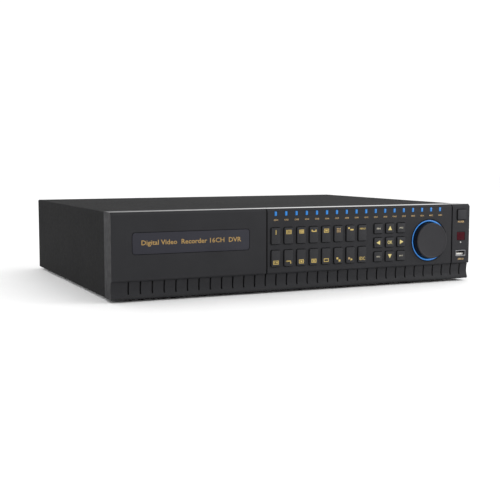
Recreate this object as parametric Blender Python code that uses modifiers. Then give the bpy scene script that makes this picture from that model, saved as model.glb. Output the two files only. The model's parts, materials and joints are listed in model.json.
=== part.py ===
"""Digital video recorder: a two-unit-high desktop case with a moulded front.

Every length below is in millimetres and MM turns it into metres. Places are
given from the datum: x from the middle of the case, y backwards from the flat
front face, z upwards from the underside of the case. The datum itself is set
so that the origin is the middle of the footprint, on the surface it stands on.
"""

import math

import bmesh
import bpy
from mathutils import Matrix, Vector

MM = 0.001

# Case
WIDTH = 440.0
HEIGHT = 88.9  # two rack units
DEPTH = 341.0  # front face to the rear edge of the cover
FOOT_HEIGHT = 3.0
GAP = 0.3  # between pieces that touch
SHEET = 1.0  # steel sheet

# Front moulding
FASCIA_DEPTH = 25.0
WALL = 2.5
FACE_FOOT = 21.5  # the flat face ends here and steps back to the ribbed band
STEP_FOOT = 15.5
STEP_BACK = 4.0
CHAMFER_Z = 86.2
CHAMFER_BACK = 2.6
SLOT_COUNT = 33
SLOT_START, SLOT_PITCH = -201.6, 12.83
SLOT_WIDTH = 1.5
SLOT_SPAN = (5.0, 19.5)
GROOVE_X = SLOT_START + 12 * SLOT_PITCH  # runs down into the thirteenth slot
END_X = 195.0  # middle of the groove beside the end panel
END_FOOT = 18.5
END_MIDDLE = 208.1

# Badge
BADGE_X, BADGE_Z = -133.1, 56.8
BADGE_SIZE = (129.4, 21.8)
BADGE_CORNER = 3.0
BADGE_RECESS = 1.5

# Keys: middle of each cap, cap size and how far it travels
KEY_COLUMNS = [-37.5 + 15.5 * column for column in range(8)]
KEY_ROWS = (59.3, 34.9)
KEY_SIZE = (10.6, 17.6)
NAV_COLUMNS = (92.1, 107.5, 122.9)
NAV_ROWS = (63.4, 47.4, 31.4)
NAV_SIZE = (10.8, 11.0)
POWER_SIZE = (12.4, 11.8)
POWER_Z = 76.6
KEY_PROUD = 1.6
KEY_TRAVEL = 0.8
KEY_CLEARANCE = 0.5
KEY_BACK = 8.3
SWITCH_FRONT = 9.6  # leaves the travel and a little more behind each stem

# Row of channel lights
LIGHT_COUNT = 18
LIGHT_START, LIGHT_PITCH = -36.9, 12.6
LIGHT_Z = 83.4
LIGHT_SIZE = (2.4, 4.5)

# Jog dial
JOG_X, JOG_Z = 162.5, 47.5
JOG_OPENING = 24.8
JOG_PROUD = 6.5
JOG_RADIUS = 20.8
RING_INNER, RING_OUTER, RING_FLANGE = 22.0, 24.4, 26.4
SHAFT_RADIUS = 2.9

# End panel
IR_Z, IR_SIZE = 51.0, (11.2, 9.4)
LENS_Z, LENS_RADIUS = 43.7, 1.0
USB_Z = 30.8
USB_LIP = (14.6, 7.6)
USB_SHELL = (13.1, 5.9)
USB_MOUTH = (12.3, 5.1)

# Boards
BOARD = 1.6
CONTROL_BOARD_Y = 14.0
MAIN_BOARD = ((-206.0, 62.0), (190.0, 329.0), 8.0)

# Rear
REAR_WALL = (339.0, 340.0)
BNC_COLUMNS = [-198.0 + 18.0 * column for column in range(8)]
BNC_ROWS = (60.0, 38.0)
BNC_PROUD = 11.0
BNC_BARREL, BNC_BODY = 4.8, 5.9
PHONO_COLUMNS = [-46.0 + 14.5 * column for column in range(4)]
PHONO_ROWS = (62.0, 46.0)
VGA_X, VGA_Z = 22.0, 22.0
LAN_X = 52.0
TERMINAL_X = (-52.0, -4.0)
FAN_X, FAN_Z, FAN_SIDE, FAN_DEPTH = 104.0, 44.0, 60.0, 25.0
FAN_DUCT = 28.5
INLET_X, INLET_Z = 184.0, 45.0
ROCKER_Z = 61.5
ROCKER_TILT = 9.0  # either side of level
SOCKET_Z = 37.0

FACE_Y = (JOG_PROUD - DEPTH - BNC_PROUD) / 2  # centres the whole depth on the origin

COLOURS = {
    "black_abs": ((0.042, 0.042, 0.045), 0.42, 0.0),
    "key_black": ((0.032, 0.032, 0.035), 0.45, 0.0),
    "powder_coat": ((0.040, 0.040, 0.041), 0.62, 0.0),
    "blue_light": ((0.03, 0.22, 0.75), 0.25, 0.0),
    "dark_red": ((0.075, 0.006, 0.012), 0.15, 0.0),
    "nickel": ((0.62, 0.62, 0.60), 0.25, 1.0),
    "rubber": ((0.02, 0.02, 0.02), 0.8, 0.0),
    "board_green": ((0.02, 0.12, 0.05), 0.5, 0.0),
    "aluminium": ((0.60, 0.61, 0.62), 0.35, 1.0),
    "galvanised": ((0.50, 0.51, 0.52), 0.4, 1.0),
    "terminal_green": ((0.03, 0.30, 0.10), 0.5, 0.0),
    "white_plastic": ((0.75, 0.75, 0.72), 0.4, 0.0),
    "clear_plastic": ((0.55, 0.60, 0.65), 0.2, 0.0),
}


def clear_scene():
    for old in list(bpy.data.objects):
        bpy.data.objects.remove(old, do_unlink=True)


def collection(name):
    made = bpy.data.collections.new(name)
    bpy.context.scene.collection.children.link(made)
    return made


def material(name):
    found = bpy.data.materials.get(name)
    if found:
        return found
    colour, roughness, metallic = COLOURS[name]
    made = bpy.data.materials.new(name)
    made.use_nodes = True
    shader = made.node_tree.nodes["Principled BSDF"]
    shader.inputs["Base Color"].default_value = (*colour, 1.0)
    shader.inputs["Roughness"].default_value = roughness
    shader.inputs["Metallic"].default_value = metallic
    return made


class Builder:
    """Holds the datum and the two collections, and places everything in them."""

    def __init__(self):
        self.parts = collection("video_recorder")
        self.tools = collection("cutters")
        self.datum = bpy.data.objects.new("datum", None)
        self.datum.location = Vector((0, FACE_Y, FOOT_HEIGHT)) * MM
        self.parts.objects.link(self.datum)
        self.count = 0

    def place(self, mesh, name, centre, finish, turn=None):
        """A finish makes it a part; none makes it a cutter or a piece to join."""
        if finish is None:
            self.count += 1
            name = f"tool_{self.count:03d}_{name}"
        made = bpy.data.objects.new(name, mesh)
        (self.tools if finish is None else self.parts).objects.link(made)
        made.parent = self.datum
        made.location = Vector(centre) * MM
        if turn is not None:
            made.rotation_euler = turn
        if finish is None:
            made.hide_render = True
            made.display_type = "WIRE"
        else:
            mesh.materials.append(material(finish))
        return made

    def blocks(self, name, boxes, finish=None, centre=None):
        """One mesh of boxes, each given as three (low, high) spans."""
        if centre is None:
            centre = [sum(span) / 2 for span in boxes[0]]
        bm = bmesh.new()
        for box in boxes:
            middle = [sum(span) / 2 - c for span, c in zip(box, centre)]
            size = [span[1] - span[0] for span in box]
            where = Matrix.Translation(Vector(middle) * MM) @ Matrix.Diagonal(
                (*[side * MM for side in size], 1)
            )
            bmesh.ops.create_cube(bm, size=1, matrix=where)
        return self.place(self.mesh_of(bm, name), name, centre, finish)

    def rods(self, name, rods, finish=None, segments=16, centre=None):
        """One mesh of round bars along y, each given as (x, z, radius, (y, y))."""
        if centre is None:
            x, z, _, span = rods[0]
            centre = (x, sum(span) / 2, z)
        bm = bmesh.new()
        lay_back = Matrix.Rotation(math.radians(90), 4, "X")
        for x, z, radius, span in rods:
            middle = Vector((x, sum(span) / 2, z)) - Vector(centre)
            bmesh.ops.create_cone(
                bm,
                cap_ends=True,
                segments=segments,
                radius1=radius * MM,
                radius2=radius * MM,
                depth=(span[1] - span[0]) * MM,
                matrix=Matrix.Translation(middle * MM) @ lay_back,
            )
        return self.place(self.mesh_of(bm, name), name, centre, finish)

    @staticmethod
    def mesh_of(bm, name):
        mesh = bpy.data.meshes.new(name)
        bm.to_mesh(mesh)
        bm.free()
        return mesh

    def prism(self, name, outline, span, along, finish=None):
        """A flat outline with thickness. Along x its points are (y, z); along y, (x, z)."""
        curve = bpy.data.curves.new(name, "CURVE")
        curve.dimensions = "2D"
        curve.fill_mode = "BOTH"
        curve.extrude = (span[1] - span[0]) / 2 * MM
        spline = curve.splines.new("POLY")
        spline.points.add(len(outline) - 1)
        spline.use_cyclic_u = True
        for point, (a, b) in zip(spline.points, outline):
            point.co = (a * MM, b * MM, 0, 1)
        flat = bpy.data.objects.new(name, curve)
        self.tools.objects.link(flat)
        bpy.context.view_layer.update()
        graph = bpy.context.evaluated_depsgraph_get()
        mesh = bpy.data.meshes.new_from_object(flat.evaluated_get(graph))
        bpy.data.objects.remove(flat)
        bm = bmesh.new()
        bm.from_mesh(mesh)
        bmesh.ops.remove_doubles(bm, verts=bm.verts, dist=1e-6)
        bmesh.ops.recalc_face_normals(bm, faces=bm.faces)
        bm.to_mesh(mesh)
        bm.free()
        middle = sum(span) / 2
        quarter = math.radians(90)
        if along == "x":
            return self.place(mesh, name, (middle, 0, 0), finish, (quarter, 0, quarter))
        return self.place(mesh, name, (0, middle, 0), finish, (quarter, 0, 0))

    def turned(self, name, profile, centre, finish=None, steps=48, upright=False):
        """A profile of (radius, height) turned about its height, which points forwards."""
        mesh = bpy.data.meshes.new(name)
        points = [(radius * MM, 0, height * MM) for radius, height in profile]
        closed = profile[0] == profile[-1]
        if closed:
            points.pop()
        edges = [(i, (i + 1) % len(points)) for i in range(len(profile) - 1)]
        mesh.from_pydata(points, edges, [])
        turn = (0, 0, 0) if upright else (math.radians(90), 0, 0)
        made = self.place(mesh, name, centre, finish, turn)
        screw = made.modifiers.new("turn", "SCREW")
        screw.steps = screw.render_steps = steps
        screw.use_merge_vertices = True
        screw.merge_threshold = 0.00001
        screw.use_smooth_shade = False
        return made


def boolean(target, tool, operation):
    modifier = target.modifiers.new(operation.lower(), "BOOLEAN")
    modifier.operation = operation
    modifier.object = tool
    return target


def cut(target, *tools):
    for tool in tools:
        boolean(target, tool, "DIFFERENCE")
    return target


def join(target, *tools):
    for tool in tools:
        boolean(target, tool, "UNION")
    return target


def span(middle, size):
    return (middle - size / 2, middle + size / 2)


def rounded_rectangle(x, z, size, radius, steps=3):
    """Corner points of a rectangle with round corners, anticlockwise."""
    half = [side / 2 - radius for side in size]
    corners = ((1, 1, 0), (-1, 1, 90), (-1, -1, 180), (1, -1, 270))
    outline = []
    for sx, sz, start in corners:
        for step in range(steps + 1):
            angle = math.radians(start + 90 * step / steps)
            outline.append(
                (
                    x + sx * half[0] + radius * math.cos(angle),
                    z + sz * half[1] + radius * math.sin(angle),
                )
            )
    return outline


def step_curve(steps=5):
    """The face sweeping back to the ribbed band, as half a cosine wave."""
    drop = FACE_FOOT - STEP_FOOT
    points = []
    for step in range(steps + 1):
        share = step / steps
        back = STEP_BACK * (1 - math.cos(math.pi * share)) / 2
        points.append((back, FACE_FOOT - drop * share))
    return points


def front_outline():
    """Side view of the front moulding, from the top rear round to the bottom rear."""
    return [
        (FASCIA_DEPTH, HEIGHT),
        (CHAMFER_BACK, HEIGHT),
        (0, CHAMFER_Z),
        *step_curve(),
        (STEP_BACK, 7.0),
        (2.2, 2.4),
        (3.2, 0),
        (FASCIA_DEPTH, 0),
    ]


def cavity_outline():
    behind = FASCIA_DEPTH + 1
    return [
        (behind, HEIGHT - WALL),
        (4.6, HEIGHT - WALL),
        (WALL, 84.0),
        (WALL, 20.5),
        (STEP_BACK + WALL, 14.5),
        (STEP_BACK + WALL, WALL),
        (behind, WALL),
    ]


def function_keys():
    """(x, z) of the sixteen tall keys, upper row first."""
    return [(x, z) for z in KEY_ROWS for x in KEY_COLUMNS]


def navigation_keys():
    """Name, x and z of the three by three keys."""
    names = (
        ("aux_key_1", "nav_key_up", "aux_key_2"),
        ("nav_key_left", "nav_key_ok", "nav_key_right"),
        ("aux_key_3", "nav_key_down", "aux_key_4"),
    )
    return [
        (name, x, z)
        for row, z in zip(names, NAV_ROWS)
        for name, x in zip(row, NAV_COLUMNS)
    ]


def aperture(x, z, size, clearance=KEY_CLEARANCE, depth=(-1.0, 6.0)):
    return (
        span(x, size[0] + 2 * clearance),
        depth,
        span(z, size[1] + 2 * clearance),
    )


def front_fascia(b):
    fascia = b.prism("front_fascia", front_outline(), span(0, WIDTH), "x", "black_abs")
    inside = span(0, WIDTH - 2 * WALL)
    cut(fascia, b.prism("cavity", cavity_outline(), inside, "x"))
    bosses = [(-43, 74), (-43, 14), (188, 76), (188, 14)]
    join(
        fascia,
        b.rods("bosses", [(x, z, 3, (WALL - 0.5, 13.7)) for x, z in bosses], segments=8),
    )
    notch = [((END_X - 0.6, WIDTH), (-1, 30), (END_FOOT - 0.4, 100))]
    groove = [
        (span(GROOVE_X, 1.1), (-1, 1.5), (20.9, 100)),
        (span(GROOVE_X, 1.1), (-1, 3.4), (86.9, 100)),
        (span(GROOVE_X, 1.1), (-1, 5.6), (18.0, 21.9)),
    ]
    slots = [
        (span(SLOT_START + SLOT_PITCH * slot, SLOT_WIDTH), (-1, 9), SLOT_SPAN)
        for slot in range(SLOT_COUNT)
    ]
    lights = [
        aperture(LIGHT_START + LIGHT_PITCH * i, LIGHT_Z, LIGHT_SIZE, 0.25)
        for i in range(LIGHT_COUNT)
    ]
    keys = [aperture(x, z, KEY_SIZE) for x, z in function_keys()]
    keys += [aperture(x, z, NAV_SIZE) for _, x, z in navigation_keys()]
    badge = [side + 0.9 for side in BADGE_SIZE]
    recess = rounded_rectangle(BADGE_X, BADGE_Z, badge, BADGE_CORNER + 0.4)
    cut(
        fascia,
        b.blocks("notch", notch),
        b.blocks("groove", groove[:1]),
        b.blocks("groove_top", groove[1:2]),
        b.blocks("groove_foot", groove[2:]),
        b.blocks("slots", slots),
        b.blocks("lights", lights),
        b.blocks("keys", keys),
        b.prism("recess", recess, (-2, BADGE_RECESS), "y"),
        b.rods("dial", [(JOG_X, JOG_Z, JOG_OPENING, (-1, 6))], segments=48),
    )
    return fascia


def end_panel(b):
    left, right = END_X + 0.6, WIDTH / 2
    panel = b.prism("end_panel", front_outline(), (left, right), "x", "black_abs")
    cut(
        panel,
        b.prism("cavity", cavity_outline(), (left - 5, right - WALL), "x"),
        b.blocks("underside", [((left - 5, right + 5), (-5, 30), (-5, END_FOOT))]),
        b.blocks(
            "openings",
            [
                aperture(END_MIDDLE, POWER_Z, POWER_SIZE),
                aperture(END_MIDDLE, IR_Z, IR_SIZE, GAP),
                aperture(END_MIDDLE, USB_Z, USB_LIP, GAP),
            ],
        ),
        b.rods(
            "lens_hole",
            [(END_MIDDLE, LENS_Z, LENS_RADIUS + 0.3, (-1, 6))],
            segments=12,
        ),
    )
    return panel


def badge_plate(b):
    outline = rounded_rectangle(BADGE_X, BADGE_Z, BADGE_SIZE, BADGE_CORNER)
    b.prism("badge_plate", outline, (-0.1, BADGE_RECESS - GAP), "y", "black_abs")


def light_guide(b):
    """One clear moulding: a carrier bar behind the face with a prong in each window."""
    ends = (LIGHT_START - 4, LIGHT_START + LIGHT_PITCH * (LIGHT_COUNT - 1) + 4)
    bar = b.blocks("light_guide", [(ends, (2.9, 5.4), (78.2, 83.6))], "blue_light")
    prongs = [
        (
            span(LIGHT_START + LIGHT_PITCH * i, LIGHT_SIZE[0]),
            (-0.15, 4.9),
            span(LIGHT_Z, LIGHT_SIZE[1]),
        )
        for i in range(LIGHT_COUNT)
    ]
    join(bar, b.blocks("prongs", prongs))


def key(b, name, x, z, size, finish="key_black"):
    """A cap in its window, a skirt that stops it coming out, and a stem to its switch."""
    cap = (span(x, size[0]), (-KEY_PROUD, 3.4), span(z, size[1]))
    made = b.blocks(name, [cap], finish)
    skirt = (span(x, size[0] + 2.0), (WALL + GAP, 4.2), span(z, size[1] + 2.0))
    stem = (span(x, 4.0), (3.8, KEY_BACK), span(z, 4.0))
    return join(made, b.blocks("skirt", [skirt]), b.blocks("stem", [stem]))


def all_keys(b):
    for number, (x, z) in enumerate(function_keys(), start=1):
        key(b, f"function_key_{number:02d}", x, z, KEY_SIZE)
    for name, x, z in navigation_keys():
        key(b, name, x, z, NAV_SIZE)
    key(b, "power_button", END_MIDDLE, POWER_Z, POWER_SIZE)


def jog_dial(b):
    """Dial, its shaft, the encoder that carries it and the lit ring round it."""
    centre = (JOG_X, 0, JOG_Z)
    dial = [
        (0, JOG_PROUD),
        (JOG_RADIUS - 1.6, JOG_PROUD),
        (JOG_RADIUS - 0.4, JOG_PROUD - 0.6),
        (JOG_RADIUS, JOG_PROUD - 1.6),
        (JOG_RADIUS, -3.5),
        (JOG_RADIUS - 2.0, -3.5),
        (JOG_RADIUS - 2.0, 3.5),
        (6.0, 3.5),
        (6.0, -4.0),
        (SHAFT_RADIUS + GAP, -4.0),
        (SHAFT_RADIUS + GAP, 2.5),
        (0, 2.5),
    ]
    b.turned("jog_wheel", dial, centre, "black_abs")
    shaft = (JOG_X, JOG_Z, SHAFT_RADIUS, (-2.2, 12.6))
    b.rods("jog_shaft", [shaft], "nickel", segments=16, centre=centre)
    ring = [
        (RING_INNER, 0.3),
        (RING_OUTER, 0.3),
        (RING_OUTER, -WALL - GAP),
        (RING_FLANGE, -WALL - GAP),
        (RING_FLANGE, -4.4),
        (RING_INNER, -4.4),
        (RING_INNER, 0.3),
    ]
    b.turned("jog_light_ring", ring, centre, "blue_light")
    encoder = b.blocks(
        "jog_encoder",
        [(span(JOG_X, 13), (8.5, CONTROL_BOARD_Y - GAP), span(JOG_Z, 13))],
        "galvanised",
    )
    join(encoder, b.rods("bush", [(JOG_X, JOG_Z, 4.6, (4.6, 9.0))], segments=16))
    bore = (JOG_X, JOG_Z, SHAFT_RADIUS + GAP, (3, 13.1))
    cut(encoder, b.rods("bore", [bore], segments=16))


def end_panel_fittings(b):
    window = [(span(END_MIDDLE, IR_SIZE[0]), (-0.1, 3.4), span(IR_Z, IR_SIZE[1]))]
    rim = [
        (span(END_MIDDLE, IR_SIZE[0] + 2), (WALL + GAP, 4.2), span(IR_Z, IR_SIZE[1] + 2))
    ]
    join(b.blocks("ir_window", window, "dark_red"), b.blocks("rim", rim))
    lens = (END_MIDDLE, LENS_Z, LENS_RADIUS, (-0.3, 6.0))
    b.rods("indicator_lens", [lens], "clear_plastic", segments=12)

    shell = b.blocks(
        "usb_shell",
        [(span(END_MIDDLE, USB_LIP[0]), (-0.3, 0.5), span(USB_Z, USB_LIP[1]))],
        "nickel",
    )
    tube = [(span(END_MIDDLE, USB_SHELL[0]), (0.2, 13.6), span(USB_Z, USB_SHELL[1]))]
    mouth = [(span(END_MIDDLE, USB_MOUTH[0]), (-1, 15), span(USB_Z, USB_MOUTH[1]))]
    cut(join(shell, b.blocks("tube", tube)), b.blocks("mouth", mouth))
    carrier = [(span(END_MIDDLE, 11.6), (11.6, 13.6), span(USB_Z, 4.4))]
    tongue = [(span(END_MIDDLE, 11.0), (0.7, 12.0), (USB_Z - 2.1, USB_Z - 0.2))]
    join(b.blocks("usb_tongue", carrier, "white_plastic"), b.blocks("tongue", tongue))


def control_board(b):
    """The board behind the front, with a switch under every key."""
    back = CONTROL_BOARD_Y + BOARD
    board = b.blocks(
        "control_board", [((-45.5, 214), (CONTROL_BOARD_Y, back), (9, 83))], "board_green"
    )
    places = function_keys()
    places += [(x, z) for _, x, z in navigation_keys()]
    places.append((END_MIDDLE, POWER_Z))
    switches = [
        (span(x, 6), (SWITCH_FRONT, CONTROL_BOARD_Y + 0.5), span(z, 6)) for x, z in places
    ]
    chips = [
        ((20, 44), (back - 0.4, back + 2), (36, 60)),
        ((80, 120), (back - 0.4, back + 6), (12, 20)),
    ]
    join(board, b.blocks("switches", switches), b.blocks("chips", chips))


def base_tray(b):
    """Floor, side lips, front wall and rear wall, folded from one sheet."""
    half = WIDTH / 2 - 2.3
    lip = 12.0
    section = [
        (-half, lip),
        (-half, 0),
        (half, 0),
        (half, lip),
        (half - SHEET, lip),
        (half - SHEET, SHEET),
        (SHEET - half, SHEET),
        (SHEET - half, lip),
    ]
    front = FASCIA_DEPTH + GAP
    tray = b.prism("base_tray", section, (front, REAR_WALL[1]), "y", "galvanised")
    wall = (0.2, HEIGHT - 1.9)
    walls = [
        ((-half, half), (front, front + SHEET), wall),
        ((-half, half), REAR_WALL, wall),
    ]
    join(tray, b.blocks("front_wall", walls[:1]), b.blocks("rear_wall", walls[1:]))
    through_front = (front - 2, front + 3)
    inlets = [(span(x, 22), through_front, (16, 24)) for x in range(-180, 190, 40)]
    wires = [((-35, 5), through_front, (50, 62)), ((150, 180), through_front, (40, 55))]
    through = (REAR_WALL[0] - 2, REAR_WALL[1] + 2)
    jacks = [
        (x, z, BNC_BODY + 0.4, through) for z in BNC_ROWS for x in BNC_COLUMNS
    ]
    phonos = [(x, z, 4.6, through) for z in PHONO_ROWS for x in PHONO_COLUMNS]
    windows = [
        (span(VGA_X, 19), through, span(VGA_Z, 9.4)),
        (span(LAN_X, 17.6), through, (9.5, 38.5)),
        ((TERMINAL_X[0] - 0.4, TERMINAL_X[1] + 0.4), through, (11.6, 26.4)),
        (span(INLET_X, 28.4), through, span(INLET_Z + 2, 48.6)),
    ]
    standoffs = [(VGA_X + side * 12.5, VGA_Z, 2.6, through) for side in (-1, 1)]
    grille = []
    for bar in range(-4, 5):
        offset = 6.0 * bar
        reach = math.sqrt(FAN_DUCT**2 - offset**2) - 1.5
        grille.append((span(FAN_X + offset, 3.6), through, span(FAN_Z, 2 * reach)))
    vents = [(span(150, 20), through, span(14 + 8 * row, 3)) for row in range(8)]
    cut(
        tray,
        b.blocks("air_inlets", inlets),
        b.blocks("wire_holes", wires),
        b.rods("jack_holes", jacks, segments=12),
        b.rods("phono_holes", phonos, segments=12),
        b.blocks("windows", windows),
        b.rods("standoff_holes", standoffs, segments=8),
        b.blocks("grille", grille),
        b.blocks("vents", vents),
    )


def top_cover(b):
    """Top and both sides, bent from one sheet."""
    out, top = WIDTH / 2 - 1.0, HEIGHT - 0.5
    section = [
        (-out, 0),
        (SHEET - out, 0),
        (SHEET - out, top - SHEET),
        (out - SHEET, top - SHEET),
        (out - SHEET, 0),
        (out, 0),
        (out, top - 1.0),
        (out - 1.0, top),
        (1.0 - out, top),
        (-out, top - 1.0),
    ]
    b.prism("top_cover", section, (FASCIA_DEPTH + GAP, DEPTH), "y", "powder_coat")


def feet(b):
    top = FOOT_HEIGHT - GAP
    profile = [(0, top), (10.0, top), (11.0, 0.6), (10.4, 0), (0, 0)]
    places = {
        "foot_front_left": (-182, 48),
        "foot_front_right": (182, 48),
        "foot_rear_left": (-182, 300),
        "foot_rear_right": (182, 300),
    }
    for name, (x, y) in places.items():
        b.turned(name, profile, (x, y, -FOOT_HEIGHT), "rubber", 24, upright=True)


def main_board(b):
    across, along, height = MAIN_BOARD
    board = b.blocks(
        "main_board", [(across, along, (height, height + BOARD))], "board_green"
    )
    top = height + BOARD - 0.4
    chips = [
        ((-118, -82), (236, 272), (top, 12.4)),
        ((-60, -36), (240, 264), (top, 12.0)),
        ((0, 40), (205, 214), (top, 18.0)),
        ((-180, -150), (205, 235), (top, 12.0)),
    ]
    pillars = [(span(x, 6), span(y, 6), (SHEET + GAP, height + 0.4))
               for x in (-198, 54) for y in (198, 320)]
    join(board, b.blocks("chips", chips), b.blocks("pillars", pillars))


def heat_sink(b):
    """An extruded comb of fins."""
    left, base, crest, fin, fins = -120.0, 12.7, 30.0, 2.0, 9
    pitch = (40.0 - fin) / (fins - 1)
    outline = [(left, base), (left + 40, base)]
    for number in reversed(range(fins)):
        start = left + pitch * number
        outline += [(start + fin, crest), (start, crest)]
        if number:
            outline += [(start, base + 4), (start - pitch + fin, base + 4)]
    b.prism("heat_sink", outline, (234, 274), "y", "aluminium")


def power_supply(b):
    across, along, tall = (140, 212), (150, 306), (2, 42)
    case = b.blocks("power_supply", [(across, along, tall)], "galvanised")
    hollow = [((142, 210), (152, 320), (4, 40))]
    transformer = [((160, 196), (190, 232), (3, 34)), ((150, 205), (250, 262), (3, 30))]
    vents = [(span(x, 3), (140, 156), (10, 34)) for x in range(150, 210, 8)]
    cut(case, b.blocks("hollow", hollow), b.blocks("vents", vents))
    join(case, b.blocks("transformer", transformer[:1]))
    join(case, b.blocks("coils", transformer[1:]))


def drives(b):
    """Two 3.5 inch drives on a folded carrier."""
    width, length, height = 101.6, 147.0, 26.1
    floor, top = 11.0, 12.2
    for number, left in enumerate((-204.0, -88.0), start=1):
        name = f"hard_drive_{number}"
        body = (
            (left, left + width),
            (34, 34 + length),
            (top + GAP, top + GAP + height),
        )
        drive = b.blocks(name, [body], "aluminium")
        z = top + GAP + height
        recess = [((left + 8, left + width - 8), (42, 120), (z - 2, z + 2))]
        plug = [((left + 10, left + 60), (34 + length - 5, 190), (top - 2, top + 5))]
        cut(drive, b.blocks("recess", recess), b.blocks("plug", plug))
    left, right, thick = -210.0, 20.0, 1.2
    hat = [
        (left - 3, SHEET + GAP),
        (left + thick, SHEET + GAP),
        (left + thick, floor),
        (right - thick, floor),
        (right - thick, SHEET + GAP),
        (right + 8, SHEET + GAP),
        (right + 8, SHEET + GAP + thick),
        (right, SHEET + GAP + thick),
        (right, top),
        (left, top),
        (left, SHEET + GAP + thick),
        (left - 3, SHEET + GAP + thick),
    ]
    b.prism("drive_carrier", hat, (32, 184), "y", "galvanised")


def fan(b):
    rear = REAR_WALL[0] - GAP
    front = rear - FAN_DEPTH
    frame = b.blocks(
        "fan_frame",
        [(span(FAN_X, FAN_SIDE), (front, rear), span(FAN_Z, FAN_SIDE))],
        "black_abs",
    )
    duct = (FAN_X, FAN_Z, FAN_DUCT, (front - 1, rear + 1))
    cut(frame, b.rods("duct", [duct], segments=32))
    holder = (FAN_X, FAN_Z, 12.0, (rear - 4, rear - 0.5))
    spokes = [
        (span(FAN_X, 58), (rear - 3.6, rear - 1), span(FAN_Z, 4)),
        (span(FAN_X, 4), (rear - 3.6, rear - 1), span(FAN_Z, 58)),
    ]
    join(frame, b.blocks("spoke", spokes[:1]), b.blocks("spoke", spokes[1:]))
    join(frame, b.rods("holder", [holder], segments=16))
    bearing = (FAN_X, FAN_Z, 2.3, (rear - 6, rear + 1))
    cut(frame, b.rods("bearing", [bearing], segments=12))

    centre = (FAN_X, (front + rear) / 2, FAN_Z)
    hub = (FAN_X, FAN_Z, 13.0, (front + 2, rear - 4.6))
    rotor = b.rods("fan_rotor", [hub], "black_abs", segments=24, centre=centre)
    pin = (FAN_X, FAN_Z, 2.0, (rear - 6, rear - 1.4))
    join(rotor, b.rods("pin", [pin], segments=12))
    bm = bmesh.new()
    blades, pitch = 7, math.radians(38)
    for blade in range(blades):
        turn = Matrix.Rotation(2 * math.pi * blade / blades, 4, "Y")
        out = Matrix.Translation(Vector((19.6, -1.0, 0)) * MM)
        lean = Matrix.Rotation(pitch, 4, "X")
        size = Matrix.Diagonal((15.4 * MM, 16.0 * MM, 1.4 * MM, 1))
        bmesh.ops.create_cube(bm, size=1, matrix=turn @ out @ lean @ size)
    join(rotor, b.place(b.mesh_of(bm, "blades"), "blades", centre, None))


def rear_jacks(b):
    inner = REAR_WALL[0] - GAP
    block = b.blocks(
        "bnc_block", [((-208, -62), (330, inner), (10, 70))], "nickel"
    )
    bodies = [(x, z, BNC_BODY, (inner - 1, 342)) for z in BNC_ROWS for x in BNC_COLUMNS]
    barrels = [
        (x, z, BNC_BARREL, (341, DEPTH + BNC_PROUD)) for z in BNC_ROWS for x in BNC_COLUMNS
    ]
    join(block, b.rods("bodies", bodies, segments=12))
    join(block, b.rods("barrels", barrels, segments=12))

    phono = b.blocks(
        "phono_block", [((-54, 5), (330, inner), (36, 70))], "key_black"
    )
    cups = [(x, z, 4.15, (inner - 1, 348)) for z in PHONO_ROWS for x in PHONO_COLUMNS]
    join(phono, b.rods("cups", cups, segments=12))


def rear_ports(b):
    inner = REAR_WALL[0] - GAP
    terminals = b.blocks(
        "terminal_block", [(TERMINAL_X, (326, 347), (12, 26))], "terminal_green"
    )
    ways = 8
    pitch = (TERMINAL_X[1] - TERMINAL_X[0]) / ways
    entries = [
        (span(TERMINAL_X[0] + pitch * (way + 0.5), 3.6), (340, 350), span(17, 4.4))
        for way in range(ways)
    ]
    cut(terminals, b.blocks("entries", entries))

    monitor = b.blocks(
        "vga_port", [(span(VGA_X, 31), (326, inner), span(VGA_Z, 12.6))], "nickel"
    )
    shell = [
        (VGA_X - 8.4, VGA_Z + 3.9),
        (VGA_X - 7.0, VGA_Z - 3.9),
        (VGA_X + 7.0, VGA_Z - 3.9),
        (VGA_X + 8.4, VGA_Z + 3.9),
    ]
    posts = [(VGA_X + side * 12.5, VGA_Z, 2.2, (inner - 1, 344.5)) for side in (-1, 1)]
    join(monitor, b.prism("shell", shell, (inner - 1, 345), "y"))
    join(monitor, b.rods("posts", posts, segments=6))

    network = b.blocks(
        "lan_usb_port", [(span(LAN_X, 17.0), (322, 341.6), (10, 38))], "nickel"
    )
    mouths = [
        (span(LAN_X, 12.0), (328, 350), (27, 35.4)),
        (span(LAN_X, 12.6), (328, 350), (11.6, 16.8)),
        (span(LAN_X, 12.6), (328, 350), (18.6, 23.8)),
    ]
    tongues = [
        (span(LAN_X, 11.0), (327, 340), (14.6, 16.2)),
        (span(LAN_X, 11.0), (327, 340), (21.6, 23.2)),
    ]
    cut(network, b.blocks("mouths", mouths))
    join(network, b.blocks("tongues", tongues))


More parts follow.
